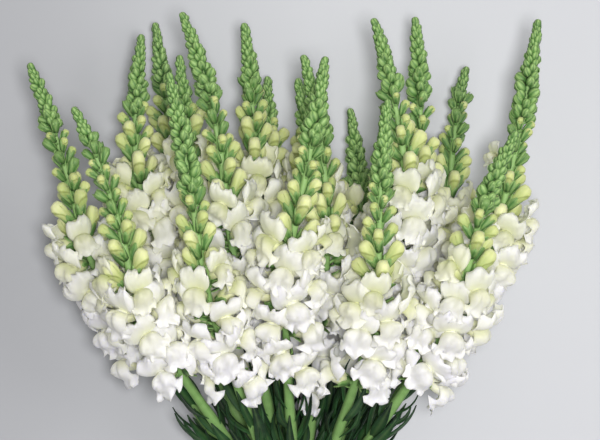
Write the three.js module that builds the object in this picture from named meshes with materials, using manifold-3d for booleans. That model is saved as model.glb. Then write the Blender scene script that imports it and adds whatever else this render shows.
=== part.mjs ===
// A bunch of nineteen cut snapdragons, tied once and lying on its back. Millimetres. +Y runs along the
// stems towards the flowers, +X is to the right and +Z is up. The bunch rests on Z = 0.
import * as THREE from 'three';
import { mergeVertices } from 'three/addons/utils/BufferGeometryUtils.js';
import Module from 'manifold-3d';

const { clamp, degToRad, lerp } = THREE.MathUtils;

// ---- driving dimensions ----

const gap = 0.3; // air between two pieces that touch on the real bunch

const tie = { halfWidth: 5, thickness: 2.2, ridges: 2, ridgeHeight: 0.7, sides: 16 };
const cut = { length: 130, stagger: 14, spread: 1.5, lift: 1.2 }; // the ends below the tie

// Radius of the green stem at the tie, below the flowers, at the foot of the buds and at the tip.
const stem = { foot: 5.3, flowers: 4.3, buds: 3.0, tip: 1.3, sides: 6, bareSteps: 3 };

// How strongly a stem's line bends, as shares of the stretch that bends.
const bend = { end: 0.35, belowTie: 0.3, aboveTie: 0.2, belowBuds: 0.25, spike: 0.5, steps: 24 };

// Flowers stand in rings of three, each ring turned by half a step. down is how far a ring is below the
// foot of the buds. Each stem has the first three, four or five of them.
const bloomRings = [
  { down: 17, size: 0.8 },
  { down: 41, size: 1.0 },
  { down: 70, size: 1.1 },
  { down: 101, size: 1.14 },
  { down: 132, size: 1.14 },
];
const bloom = { perRing: 3, reach: 42, below: 23, wobble: 2 };
const spread = { from: 0.84, to: 1.3, step: 0.02 }; // widths tried until a stem's flowers hold together
const calyx = { radius: 9.2, drop: 5, above: 8 };

// A flower of size 1 beside its stem: x is sideways, y up along the stem and z outward from the stem's
// axis.
const floret = {
  rim: [[0, 19, 27], [16, 25, 27], [20, -4, 30], [9, -16, 32], [-9, -16, 32], [-20, -4, 30], [-16, 25, 27]],
  root: [0, -2.6, 8.6],
  mouth: [0, 7, 23],
  palate: [0, -2, 36],
};

// Large buds in two rings, then tight buds as a studded cone up to the tip.
const budRings = [{ up: 6, length: 20, radius: 4.6 }, { up: 26, length: 15, radius: 4.0 }];
const bud = { perRing: 3, out: 0.55, up: 0.8, widest: 0.5, flat: 1.25, tilt: 0.6, sunk: 3 };
const cone = { start: 38, neck: 4, rings: 9, foot: 11.4, tip: 3.4 };
const studs = { valley: 0.6, lift: 2.2, crowd: 0.72, taper: 0.8 };

const leaf = { perStem: 2, first: 84, pitch: 34, turn: 137.5 };
const blade = { length: 62, halfWidth: 5.5, thickness: 1.4, rib: 1.6 };
const leafArch = { out: 22, base: 2, bow: 0.62, widest: 0.42, sunk: 0.06 };

// Squeezing: nothing nearer to a stem's axis than core is drawn in by the neighbours, and the rest keeps at
// least the share called least of its reach. margin is left on each side of the wall between two stems. A
// flower may be drawn a little below the surface that the bunch lies on, by sink, where it is then cut
// flat.
const squeeze = { core: 10, least: 0.12, margin: 1.2, sink: 3.4, far: 104, facing: 0.05 };

// The room that a stem asks for. up is the distance above the foot of the buds or, in the first three rows,
// above the lowest flower; hard is the part that can't be squeezed, and soft is the reach of what grows
// there.
const girthsBelow = [
  { up: -60, hard: stem.foot + 0.4, soft: stem.foot + 2.4 },
  { up: -20, hard: stem.foot + 0.4, soft: stem.foot + 7 },
  { up: 0, hard: squeeze.core, soft: bloom.reach },
];
const girthsAbove = [
  { up: 5, hard: squeeze.core, soft: 32 },
  { up: cone.start, hard: 8, soft: 16 },
  { up: 100, hard: 5, soft: 10 },
];

// One row for each stem: its place in the tie, the foot of its buds, its tip, how far it leans sideways for
// each millimetre upward at the foot of its buds, and its rings of flowers. Place 0 is the middle of the
// tie, 1 to 6 are the inner ring and 7 to 18 the outer.
const stems = [
  { name: 'a', place: 12, buds: [-195, 310, 120], tip: [-238, 456, 135], lean: -0.21, rings: 4 },
  { name: 'b', place: 11, buds: [-148, 276, 168], tip: [-194, 415, 180], lean: -0.19, rings: 4 },
  { name: 'c', place: 13, buds: [-150, 392, 78], tip: [-144, 486, 80], lean: 0.02, rings: 4 },
  { name: 'd', place: 14, buds: [-121, 400, 33], tip: [-135, 501, 34], lean: -0.14, rings: 3 },
  { name: 'e', place: 4, buds: [-101, 388, 80], tip: [-110, 467, 80], lean: -0.11, rings: 4 },
  { name: 'f', place: 10, buds: [-86, 283, 165], tip: [-113, 444, 182], lean: -0.12, rings: 4 },
  { name: 'g', place: 3, buds: [-67, 344, 122], tip: [-104, 501, 132], lean: -0.07, rings: 4 },
  { name: 'h', place: 5, buds: [-42, 377, 78], tip: [-50, 496, 84], lean: -0.02, rings: 4 },
  { name: 'i', place: 15, buds: [-30, 372, 33], tip: [-30, 451, 33], lean: -0.01, rings: 3 },
  { name: 'j', place: 0, buds: [24, 312, 122], tip: [3, 463, 134], lean: 0.0, rings: 4 },
  { name: 'k', place: 9, buds: [-5, 313, 168], tip: [21, 458, 182], lean: 0.24, rings: 5 },
  { name: 'l', place: 6, buds: [8, 368, 74], tip: [-2, 446, 80], lean: -0.04, rings: 4 },
  { name: 'm', place: 16, buds: [56, 339, 33], tip: [47, 421, 36], lean: -0.09, rings: 3 },
  { name: 'n', place: 1, buds: [94, 364, 118], tip: [66, 496, 130], lean: -0.13, rings: 4 },
  { name: 'o', place: 18, buds: [110, 374, 70], tip: [105, 502, 78], lean: 0.0, rings: 4 },
  { name: 'p', place: 2, buds: [68, 272, 166], tip: [75, 421, 182], lean: 0.0, rings: 4 },
  { name: 'q', place: 17, buds: [140, 347, 33], tip: [154, 460, 36], lean: 0.03, rings: 3 },
  { name: 'r', place: 7, buds: [179, 320, 108], tip: [212, 496, 118], lean: 0.24, rings: 4 },
  { name: 's', place: 8, buds: [147, 278, 158], tip: [187, 394, 172], lean: 0.16, rings: 4 },
];

const green = new THREE.MeshStandardMaterial({ color: 0x6fa35c, roughness: 0.62, metalness: 0 });
const white = new THREE.MeshStandardMaterial({ color: 0xf7f7f2, roughness: 0.55, metalness: 0 });
const straw = new THREE.MeshStandardMaterial({ color: 0xb99b62, roughness: 0.85, metalness: 0 });

// ---- solids ----

const wasm = await Module();
wasm.setup();

// A closed three.js geometry as a solid. Triangles that shrank to a line when the seam was merged are left
// out.
function solid(geometry) {
  const bare = geometry.clone();
  bare.deleteAttribute('normal');
  bare.deleteAttribute('uv');
  const merged = mergeVertices(bare, 1e-4);
  const corners = merged.index.array;
  const kept = [];
  for (let i = 0; i < corners.length; i += 3) {
    const [a, b, c] = [corners[i], corners[i + 1], corners[i + 2]];
    if (a !== b && b !== c && c !== a) {
      kept.push(a, b, c);
    }
  }
  const vertProperties = new Float32Array(merged.attributes.position.array);
  return new wasm.Manifold(new wasm.Mesh({ numProp: 3, vertProperties, triVerts: new Uint32Array(kept) }));
}

function meshOf(body, name, material) {
  const { vertProperties, triVerts } = body.getMesh();
  const geometry = new THREE.BufferGeometry();
  geometry.setAttribute('position', new THREE.BufferAttribute(new Float32Array(vertProperties), 3));
  geometry.setIndex(new THREE.BufferAttribute(new Uint32Array(triVerts), 1));
  const mesh = new THREE.Mesh(geometry, material);
  mesh.name = name;
  return mesh;
}

// A closed body from a ring of points that runs clockwise seen from its front, one point behind it and one
// in front. With two points in front, the first serves the top of the ring and the second its sides and
// foot.
function rimBody(rim, back, front) {
  const count = rim.length;
  const behind = count;
  const frontOf = (i) => count + 1 + (front.length > 1 && i > 1 && i < count - 1 ? 1 : 0);
  const faces = [];
  for (let i = 0; i < count; i += 1) {
    const next = (i + 1) % count;
    faces.push(next, behind, i);
    faces.push(i, frontOf(i), next);
    if (frontOf(i) !== frontOf(next)) {
      faces.push(frontOf(i), frontOf(next), next);
    }
  }
  const geometry = new THREE.BufferGeometry().setFromPoints([...rim, back, ...front]);
  geometry.setIndex(faces);
  return solid(geometry);
}

// ---- the line of each stem ----

// In the tie the six-sided stems lie side against side, as in a honeycomb.
const halfSide = stem.foot / 2;
const flatRadius = stem.foot * Math.cos(Math.PI / stem.sides);
const pitch = 2 * flatRadius + gap;
const waist = Math.hypot(2 * pitch + flatRadius, halfSide);
const bandInner = (waist + gap) / Math.cos(Math.PI / tie.sides);
const bandOuter = bandInner + tie.thickness;
const tieHeight = bandOuter + tie.ridgeHeight;
const tieStretch = tie.halfWidth + 1;

// The same small turn for the same item of a stem every time, between -1 and 1.
function draw(stemNumber, item) {
  const wave = Math.sin(stemNumber * 12.9898 + item * 78.233) * 43758.5453;
  return 2 * (wave - Math.floor(wave)) - 1;
}

function placeInTie(place) {
  const middle = new THREE.Vector3(0, 0, tieHeight);
  if (place === 0) {
    return middle;
  }
  const inner = place <= 6;
  const edge = place % 2 === 0 ? 2 * pitch : 2 * pitch * Math.cos(Math.PI / 6);
  const radius = inner ? pitch : edge;
  const angle = degToRad(inner ? (place - 1) * 60 : (place - 6) * 30);
  return middle.add(new THREE.Vector3(radius * Math.cos(angle), 0, radius * Math.sin(angle)));
}

// The stem runs level through the tie, fans out to the foot of its buds, and bends on to its tip.
function stemLine(row, number) {
  const level = new THREE.Vector3(0, 1, 0);
  const held = placeInTie(row.place);
  const below = held.clone().addScaledVector(level, -tieStretch);
  const above = held.clone().addScaledVector(level, tieStretch);
  const foot = new THREE.Vector3(...row.buds);
  const tip = new THREE.Vector3(...row.tip);
  const rise = held.z - tieHeight;
  const endHeight = tieHeight + rise * (rise > 0 ? cut.lift : 1);
  const end = new THREE.Vector3(held.x * cut.spread, -cut.length + cut.stagger * draw(number, 0), endHeight);
  const heading = new THREE.Vector3(row.lean, 1, (tip.z - foot.z) / (tip.y - foot.y)).normalize();
  const fan = foot.distanceTo(above);
  const curves = [
    new THREE.CubicBezierCurve3(
      end,
      end.clone().lerp(below, bend.end),
      below.clone().addScaledVector(level, -bend.belowTie * cut.length),
      below,
    ),
    new THREE.LineCurve3(below, above),
    new THREE.CubicBezierCurve3(
      above,
      above.clone().addScaledVector(level, bend.aboveTie * fan),
      foot.clone().addScaledVector(heading, -bend.belowBuds * fan),
      foot,
    ),
    new THREE.QuadraticBezierCurve3(
      foot,
      foot.clone().addScaledVector(heading, bend.spike * tip.distanceTo(foot)),
      tip,
    ),
  ];
  const points = [{ point: end, at: 0 }];
  const knots = [];
  for (const curve of curves) {
    for (let i = 1; i <= bend.steps; i += 1) {
      const point = curve.getPoint(i / bend.steps);
      const last = points.at(-1);
      points.push({ point, at: last.at + point.distanceTo(last.point) });
    }
    knots.push(points.at(-1).at);
  }
  const rings = bloomRings.slice(0, row.rings);
  return { number, points, below: knots[0], held: knots[1], foot: knots[2], length: knots[3], rings };
}

const lines = stems.map(stemLine);

// How far below the foot of the buds the flowers of a stem end.
function bloomEnd(line) {
  return line.rings.at(-1).down + bloom.below;
}

// Place and directions at a distance along the line: side points to +X, out to +Z, both square to the stem.
function along(line, distance) {
  const { points } = line;
  let i = 1;
  while (i < points.length - 1 && points[i].at < distance) {
    i += 1;
  }
  const [from, to] = [points[i - 1], points[i]];
  const share = (distance - from.at) / (to.at - from.at);
  const tangent = to.point.clone().sub(from.point).normalize();
  const side = new THREE.Vector3(1, 0, 0).addScaledVector(tangent, -tangent.x).normalize();
  const out = side.clone().cross(tangent);
  return { point: from.point.clone().lerp(to.point, share), side, out };
}

// ---- room between the stems ----

function girth(line, distance) {
  const up = distance - line.foot;
  const table = [...girthsBelow.map((row) => ({ ...row, up: row.up - bloomEnd(line) })), ...girthsAbove];
  const level = clamp(up, table[0].up, table.at(-1).up);
  const next = Math.max(1, table.findIndex((row) => row.up >= level));
  const [from, to] = [table[next - 1], table[next]];
  const share = (level - from.up) / (to.up - from.up);
  return { hard: lerp(from.hard, to.hard, share), soft: lerp(from.soft, to.soft, share) };
}

// The nearest point of another stem's line.
function nearest(point, line) {
  let best = null;
  let least = Infinity;
  const segment = new THREE.Line3();
  for (let i = 1; i < line.points.length; i += 1) {
    const [from, to] = [line.points[i - 1], line.points[i]];
    segment.set(from.point, to.point);
    const share = segment.closestPointToPointParameter(point, true);
    const close = segment.at(share, new THREE.Vector3());
    const away = close.distanceToSquared(point);
    if (away < least) {
      least = away;
      best = { point: close, at: lerp(from.at, to.at, share) };
    }
  }
  return best;
}

// Room for what grows from a stem, at a distance along its line and in a direction square to it: the wall
// between two stems stands where their girths meet, and the surface that the bunch lies on is a wall as
// well.
function roomAt(line, distance, place, direction) {
  const own = girth(line, distance);
  let room = bloom.reach;
  if (direction.z < -squeeze.facing) {
    room = Math.min(room, (place.z + squeeze.sink) / -direction.z);
  }
  for (const other of lines) {
    if (other === line) {
      continue;
    }
    const close = nearest(place, other);
    const away = close.point.clone().sub(place);
    const apart = away.length();
    const facing = direction.dot(away) / apart;
    if (facing < squeeze.facing || apart > squeeze.far) {
      continue;
    }
    const theirs = girth(other, close.at);
    const spare = apart - own.hard - theirs.hard;
    const share = (own.soft - own.hard) / (own.soft - own.hard + theirs.soft - theirs.hard);
    room = Math.min(room, (own.hard + spare * share - squeeze.margin) / facing);
  }
  return room;
}

// Puts a point given beside the stem (x sideways round it, y up along it, z outward) where it belongs. What
// would reach out to full is drawn in to the room between the neighbours.
function seat(line, distance, turn, local, full = Infinity) {
  const at = distance + local.y;
  const place = along(line, at);
  const outward = place.side.clone().multiplyScalar(Math.cos(turn)).addScaledVector(place.out, Math.sin(turn));
  const sideways = place.side.clone().multiplyScalar(Math.sin(turn)).addScaledVector(place.out, -Math.cos(turn));
  const reach = outward.multiplyScalar(local.z).addScaledVector(sideways, local.x);
  const radius = reach.length();
  if (full < Infinity && radius > squeeze.core) {
    const room = roomAt(line, at, place.point, reach.clone().divideScalar(radius));
    const share = clamp((room - squeeze.core) / (full - squeeze.core), squeeze.least, 1);
    reach.multiplyScalar((squeeze.core + (radius - squeeze.core) * share) / radius);
  }
  return place.point.add(reach);
}

// The direction round the stem of one flower of a ring.
function flowerTurn(line, ring, item) {
  const step = (item + (ring % 2) / 2) / bloom.perRing;
  const wobble = bloom.wobble * draw(line.number, ring * bloom.perRing + (item % bloom.perRing) + 1);
  return Math.PI / 2 + 2 * Math.PI * step + degToRad(wobble);
}

// ---- green parts ----

function stemRadius(line, distance) {
  const flowers = line.foot - bloomEnd(line);
  if (distance < flowers) {
    return lerp(stem.foot, stem.flowers, Math.max(0, (distance - line.held) / (flowers - line.held)));
  }
  if (distance < line.foot) {
    return lerp(stem.flowers, stem.buds, (distance - flowers) / (line.foot - flowers));
  }
  return lerp(stem.buds, stem.tip, (distance - line.foot) / (line.length - line.foot));
}

// The rings of corners that the stem is drawn through, from the cut end to the tip. In a ring with studs,
// three corners stand out, as the green cups under a ring of flowers or as tight buds, and the other three
// lie between.
function stemRings(line) {
  const rings = [{ at: 0 }, { at: line.below }];
  for (let i = 0; i <= stem.bareSteps; i += 1) {
    rings.push({ at: lerp(line.held, line.foot - bloomEnd(line), i / stem.bareSteps) });
  }
  for (let ring = line.rings.length - 1; ring >= 0; ring -= 1) {
    const at = line.foot - line.rings[ring].down;
    rings.push({ at: at - calyx.drop, studs: calyx.radius, turned: ring % 2, flowers: ring });
    rings.push({ at: at + calyx.above });
  }
  const coneStart = line.foot + cone.start;
  rings.push({ at: coneStart - cone.neck });
  for (let i = 0; i < cone.rings; i += 1) {
    const share = (i / cone.rings) ** studs.crowd;
    rings.push({
      at: lerp(coneStart, line.length, share),
      studs: lerp(cone.foot, cone.tip, share ** studs.taper),
      valley: studs.valley,
      lift: studs.lift * (1 - studs.valley * share),
      turned: i % 2,
    });
  }
  rings.push({ at: line.length });
  return rings;
}

function stemBody(line) {
  const rings = stemRings(line);
  const last = rings.length - 1;
  const geometry = new THREE.CylinderGeometry(1, 1, 1, stem.sides, last);
  const { position } = geometry.attributes;
  for (let i = 0; i < position.count; i += 1) {
    const ring = rings[Math.round((position.getY(i) + 0.5) * last)];
    const angle = Math.atan2(position.getZ(i), position.getX(i));
    const corner = Math.round((angle * stem.sides) / (2 * Math.PI) + 4.5);
    const stud = ring.studs && (corner + ring.turned) % 2 === 0;
    const middle = Math.hypot(position.getX(i), position.getZ(i)) < 0.5;
    const between = ring.valley ? ring.studs * ring.valley : stemRadius(line, ring.at);
    const radius = stud ? ring.studs : between;
    const flower = stud && ring.flowers !== undefined;
    const turn = flower
      ? flowerTurn(line, ring.flowers, (corner - ring.turned) / 2)
      : Math.PI / 2 + (2 * Math.PI * corner) / stem.sides;
    const local = new THREE.Vector3(0, stud && ring.lift ? ring.lift : 0, middle ? 0 : radius);
    position.setXYZ(i, ...seat(line, ring.at, turn, local));
  }
  return solid(geometry);
}

// A bud on its short stalk: three corners round its widest place, and a blunt tip.
function budBody(line, distance, turn, size) {
  const out = stem.buds + size.length * bud.out;
  const up = size.length * bud.up;
  const put = (x, y, z) => seat(line, distance, turn, new THREE.Vector3(x, y, z), out + size.radius);
  const corners = [0, 1, 2].map((i) => {
    const angle = (-2 * Math.PI * i) / 3;
    return put(
      size.radius * bud.flat * Math.sin(angle),
      up * bud.widest - size.radius * bud.tilt * Math.cos(angle),
      lerp(stem.buds, out, bud.widest) + size.radius * Math.cos(angle),
    );
  });
  return rimBody(corners, put(0, -bud.sunk, 0), [put(0, up, out)]);
}

// A lance-shaped leaf, arched away from the stem, thick along its rib and thin at its edges.
function leafBody(line, distance, turn) {
  const full = leafArch.out + leafArch.base + 2 * blade.rib;
  const put = (x, share, rise) => {
    const height = leafArch.base + leafArch.out * Math.sin(share * Math.PI * leafArch.bow) + rise;
    return seat(line, distance, turn, new THREE.Vector3(x, share * blade.length, height), full);
  };
  const { widest } = leafArch;
  const rim = [
    put(0, -leafArch.sunk, 0),
    put(-blade.halfWidth, widest, blade.rib),
    put(0, 1, 0),
    put(blade.halfWidth, widest, blade.rib),
  ];
  return rimBody(rim, put(0, widest, -blade.thickness), [put(0, widest, blade.thickness)]);
}

function greenery(line) {
  const bodies = [stemBody(line)];
  budRings.forEach((size, ring) => {
    for (let i = 0; i < bud.perRing; i += 1) {
      const turn = Math.PI / 2 + (2 * Math.PI * (i + (1 - ring) / 2)) / bud.perRing;
      bodies.push(budBody(line, line.foot + size.up, turn, size));
    }
  });
  for (let i = 0; i < leaf.perStem; i += 1) {
    const turn = degToRad(leaf.turn * i) + line.number;
    bodies.push(leafBody(line, line.held + leaf.first + leaf.pitch * i, turn));
  }
  return bodies.reduce((sum, body) => sum.add(body));
}

// ---- white parts ----

// A two-lipped flower: a short tube widening to a rim with two upper and two lower lobes, the mouth drawn
// in above and the palate swelling below it.
function floretBody(line, distance, turn, size, width) {
  const { core } = squeeze;
  const full = core + ((bloom.reach - core) * size) / bloomRings.at(-1).size;
  const put = ([x, y, z]) => {
    const local = new THREE.Vector3(x * size * width, y * size, lerp(floret.root[2], z, size));
    return seat(line, distance, turn, local, full);
  };
  const root = seat(line, distance, turn, new THREE.Vector3(...floret.root));
  return rimBody(floret.rim.map(put), root, [put(floret.mouth), put(floret.palate)]);
}

// The flowers of one stem, opened a little wider until they all hold together.
function flowers(line, floor) {
  let body = null;
  for (let width = spread.from; width < spread.to; width += spread.step) {
    const bodies = [];
    line.rings.forEach(({ down, size }, ring) => {
      for (let i = 0; i < bloom.perRing; i += 1) {
        bodies.push(floretBody(line, line.foot - down, flowerTurn(line, ring, i), size, width));
      }
    });
    body = bodies.reduce((sum, one) => sum.add(one)).subtract(floor);
    if (body.decompose().length === 1) {
      break;
    }
  }
  return body;
}

// ---- the tie ----

// A plain band wound twice round the stems.
function tieBody() {
  const profile = [new THREE.Vector2(bandInner, -tie.halfWidth)];
  const steps = tie.ridges * 2;
  for (let i = 0; i <= steps; i += 1) {
    const height = lerp(-tie.halfWidth, tie.halfWidth, i / steps);
    profile.push(new THREE.Vector2(bandOuter + (i % 2) * tie.ridgeHeight, height));
  }
  profile.push(new THREE.Vector2(bandInner, tie.halfWidth));
  profile.push(profile[0].clone());
  return solid(new THREE.LatheGeometry(profile, tie.sides));
}

// ---- the whole bunch ----

const bunch = new THREE.Group();
bunch.name = 'snapdragon_bunch';
const floor = solid(new THREE.BoxGeometry(1200, 1600, 100).translate(0, 0, -50));
for (const line of lines) {
  const { name } = stems[line.number];
  bunch.add(meshOf(greenery(line).subtract(floor), `stem_${name}`, green));
  bunch.add(meshOf(flowers(line, floor), `flowers_${name}`, white));
}
const band = meshOf(tieBody(), 'tie', straw);
band.position.set(0, 0, tieHeight);
bunch.add(band);

// The origin is under the middle of the whole bunch, on the surface that it lies on.
const middle = new THREE.Box3().setFromObject(bunch).getCenter(new THREE.Vector3());
bunch.position.set(-middle.x, -middle.y, 0);

export default bunch;
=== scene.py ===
from functools import cache, partial
from math import cos, floor, hypot, pi, radians, sin

import bpy
import numpy as np
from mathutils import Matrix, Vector


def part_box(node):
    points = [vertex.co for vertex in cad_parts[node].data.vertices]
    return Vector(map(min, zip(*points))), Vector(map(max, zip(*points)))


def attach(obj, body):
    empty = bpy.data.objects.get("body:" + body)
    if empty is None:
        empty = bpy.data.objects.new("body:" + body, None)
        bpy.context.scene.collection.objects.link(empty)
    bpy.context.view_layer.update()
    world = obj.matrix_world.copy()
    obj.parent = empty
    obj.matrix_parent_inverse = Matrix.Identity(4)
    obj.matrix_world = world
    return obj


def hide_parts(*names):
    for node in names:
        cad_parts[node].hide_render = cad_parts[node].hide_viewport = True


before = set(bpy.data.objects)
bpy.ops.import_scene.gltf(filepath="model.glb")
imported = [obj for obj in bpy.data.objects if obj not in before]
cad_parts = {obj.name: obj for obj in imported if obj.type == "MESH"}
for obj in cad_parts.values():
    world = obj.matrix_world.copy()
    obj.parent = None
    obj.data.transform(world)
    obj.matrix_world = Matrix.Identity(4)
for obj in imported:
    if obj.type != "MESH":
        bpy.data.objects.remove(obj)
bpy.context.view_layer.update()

seed = 41  # another number gives another bunch of the same kind
mm = 0.001
golden = radians(137.5)  # the turn round a stem from one flower to the next

# One row for each stem: name, place in the tie, foot of the buds, tip, lean at the foot of the buds, rings of
# flowers. Lengths are in millimetres, counted from the middle of the tie on the surface that the bunch lies on.
stemRows = [
    ("a", 12, (-195, 310, 120), (-238, 456, 135), -0.21, 4),
    ("b", 11, (-148, 276, 168), (-194, 415, 180), -0.19, 4),
    ("c", 13, (-150, 392, 78), (-144, 486, 80), 0.02, 4),
    ("d", 14, (-121, 400, 33), (-135, 501, 34), -0.14, 3),
    ("e", 4, (-101, 388, 80), (-110, 467, 80), -0.11, 4),
    ("f", 10, (-86, 283, 165), (-113, 444, 182), -0.12, 4),
    ("g", 3, (-67, 344, 122), (-104, 501, 132), -0.07, 4),
    ("h", 5, (-42, 377, 78), (-50, 496, 84), -0.02, 4),
    ("i", 15, (-30, 372, 33), (-30, 451, 33), -0.01, 3),
    ("j", 0, (24, 312, 122), (3, 463, 134), 0, 4),
    ("k", 9, (-5, 313, 168), (21, 458, 182), 0.24, 5),
    ("l", 6, (8, 368, 74), (-2, 446, 80), -0.04, 4),
    ("m", 16, (56, 339, 33), (47, 421, 36), -0.09, 3),
    ("n", 1, (94, 364, 118), (66, 496, 130), -0.13, 4),
    ("o", 18, (110, 374, 70), (105, 502, 78), 0, 4),
    ("p", 2, (68, 272, 166), (75, 421, 182), 0, 4),
    ("q", 17, (140, 347, 33), (154, 460, 36), 0.03, 3),
    ("r", 7, (179, 320, 108), (212, 496, 118), 0.24, 4),
    ("s", 8, (147, 278, 158), (187, 394, 172), 0.16, 4),
]

# How the stems run, in millimetres. bends says how far each stretch runs straight on, as a share of its length.
bunch = {
    "stemFoot": 5.3, "stemFlowers": 4.3, "stemBuds": 3, "stemTip": 1.3, "gap": 0.3, "tieHalf": 5,
    "tieThick": 2.2, "tieRidge": 0.7, "tieSides": 16, "cutLength": 130, "cutStagger": 14, "cutSpread": 1.5,
    "cutLift": 1.2, "ringDown": (17, 41, 70, 101, 132), "bloomBelow": 23, "bends": (0.35, 0.3, 0.2, 0.25, 0.5),
    "steps": 24,
}

# How flowers are drawn in where the next stem or the floor is close.
squeeze = {
    "core": 10, "least": 0.5, "margin": -4, "far": 104, "facing": 0.05, "reach": 42, "step": 4,
    "turns": 48, "floor": 0.25, "floorBack": 0.05,
}

# How far a stem and what grows on it reach, at marks below its flowers and above the foot of its buds. hard can't
# be squeezed.
growth = {
    "below": (-60, -20, 0), "above": (5, 38, 100),
    "hard": (5.7, 5.7, 10, 10, 8, 5), "soft": (7.7, 12.3, 42, 32, 16, 10),
}

flatRadius = bunch["stemFoot"] * cos(pi / 6)
stemPitch = 2 * flatRadius + bunch["gap"]
waistRadius = hypot(2 * stemPitch + flatRadius, bunch["stemFoot"] / 2)
bandInner = (waistRadius + bunch["gap"]) / cos(pi / bunch["tieSides"])
tieHeight = bandInner + bunch["tieThick"] + bunch["tieRidge"]
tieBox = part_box("tie")
origin = np.array([(tieBox[0].x + tieBox[1].x) / 2, (tieBox[0].y + tieBox[1].y) / 2, 0.0])


# The turns of so many things that stand evenly round a ring.
def turnsOf(count):
    return np.arange(count) * 2 * pi / count


def unit(vectors):
    return vectors / np.linalg.norm(vectors, axis=-1, keepdims=True)


# Points beside a line of points, so far to its side and so far out.
def besideLine(point, side, out, x, y):
    return point + side * x[..., None] + out * y[..., None]


# The same small chance for the same item of a stem every time, between -1 and 1.
def drawOf(stemNumber, item):
    wave = sin(stemNumber * 12.9898 + item * 78.233) * 43758.5453
    return 2 * (wave - floor(wave)) - 1


# Place 0 is the middle of the tie, 1 to 6 the inner ring and 7 to 18 the outer.
def placeInTie(place):
    if place == 0:
        return np.array([0.0, 0.0, tieHeight])
    if place <= 6:
        radius, angle = stemPitch, radians((place - 1) * 60)
    else:
        radius = 2 * stemPitch if place % 2 == 0 else 2 * stemPitch * cos(pi / 6)
        angle = radians((place - 6) * 30)
    return np.array([radius * cos(angle), 0.0, tieHeight + radius * sin(angle)])


# Points along a smooth bend that starts at the first corner, heads for the next ones and ends at the last.
def bendOf(corners):
    share = np.linspace(0, 1, bunch["steps"] + 1)[1:, None]
    points = [np.asarray(corner, float)[None, :] for corner in corners]
    while len(points) > 1:
        points = [a * (1 - share) + b * share for a, b in zip(points[:-1], points[1:])]
    return points[0]


def stemLine(number):
    name, place, buds, tip, lean, rings = stemRows[number]
    foot, tip = np.array(buds, float), np.array(tip, float)
    held = placeInTie(place)
    level = np.array([0, 1, 0])
    below, above = (held + level * way * (bunch["tieHalf"] + 1) for way in (-1, 1))
    rise = held[2] - tieHeight
    end = np.array([
        held[0] * bunch["cutSpread"],
        -bunch["cutLength"] + bunch["cutStagger"] * drawOf(number, 0),
        tieHeight + rise * (bunch["cutLift"] if rise > 0 else 1),
    ])
    heading = unit(np.array([lean, 1, (tip[2] - foot[2]) / (tip[1] - foot[1])]))
    fan = np.linalg.norm(foot - above)
    bends, steps = bunch["bends"], bunch["steps"]
    parts = [
        bendOf([end, end + (below - end) * bends[0], below - level * bends[1] * bunch["cutLength"], below]),
        bendOf([below, above]),
        bendOf([above, above + level * bends[2] * fan, foot - heading * bends[3] * fan, foot]),
        bendOf([foot, foot + heading * bends[4] * np.linalg.norm(tip - foot), tip]),
    ]
    points = np.vstack([end, *parts])
    lengths = np.linalg.norm(np.diff(points, axis=0), axis=1)
    at = np.concatenate([[0], np.cumsum(lengths)])
    pace = np.diff(points, axis=0) / lengths[:, None]
    tangent = unit(np.vstack([pace[:1], pace[:-1] + pace[1:], pace[-1:]]))
    return {
        "name": name, "number": number, "points": points, "at": at, "tangent": tangent, "layer": buds[2],
        "held": at[2 * steps], "foot": at[3 * steps], "length": at[4 * steps], "rings": rings,
        "bloomEnd": bunch["ringDown"][rings - 1] + bunch["bloomBelow"],
    }


# The place on a stem's line, and the directions sideways and outward from it.
def alongLine(line, distance):
    inside = np.clip(distance, 0, line["length"])
    point, tangent = (
        np.stack([np.interp(inside, line["at"], line[key][:, k]) for k in range(3)], -1)
        for key in ("points", "tangent")
    )
    tangent = unit(tangent)
    point = point + tangent * (distance - inside)[..., None]
    side = unit(np.array([1, 0, 0]) - tangent * tangent[..., :1])
    return point, side, np.cross(side, tangent)


def girthOf(line, distance):
    marks = [*(mark - line["bloomEnd"] for mark in growth["below"]), *growth["above"]]
    return [np.interp(distance - line["foot"], marks, growth[kind]) for kind in ("hard", "soft")]


# The room in every direction round a stem, up to where its neighbours and the floor begin.
def roomTable(line, lines):
    distance = np.arange(0, line["length"] + 40, squeeze["step"])
    point, side, out = alongLine(line, distance)
    ownHard, ownSoft = girthOf(line, distance)
    angle = turnsOf(squeeze["turns"])
    direction = besideLine(0, side[:, None], out[:, None], np.cos(angle), np.sin(angle))
    room = np.full(direction.shape[:2], squeeze["reach"])
    down = -direction[..., 2]
    floorRoom = point[:, None, 2] / np.maximum(down, 1e-6)
    room = np.where(down > squeeze["facing"], np.minimum(room, floorRoom), room)
    rows = np.arange(len(distance))
    for other in lines:
        if other is line:
            continue
        start, stop = other["points"][:-1], other["points"][1:]
        run = stop - start
        share = np.clip(np.einsum("nsk,sk->ns", point[:, None] - start, run) / np.sum(run * run, 1), 0, 1)
        close = start + share[..., None] * run
        apartAll = np.linalg.norm(close - point[:, None], axis=-1)
        best = np.argmin(apartAll, axis=1)
        apart = apartAll[rows, best]
        away = (close[rows, best] - point) / apart[:, None]
        theirHard, theirSoft = girthOf(other, other["at"][best] + share[rows, best] * np.diff(other["at"])[best])
        part = (ownSoft - ownHard) / (ownSoft - ownHard + theirSoft - theirHard)
        wall = ownHard + (apart - ownHard - theirHard) * part - squeeze["margin"]
        facing = np.einsum("nak,nk->na", direction, away)
        use = (facing > squeeze["facing"]) & (apart[:, None] < squeeze["far"])
        room = np.where(use, np.minimum(room, wall[:, None] / np.maximum(facing, 1e-6)), room)
    return room


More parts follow.
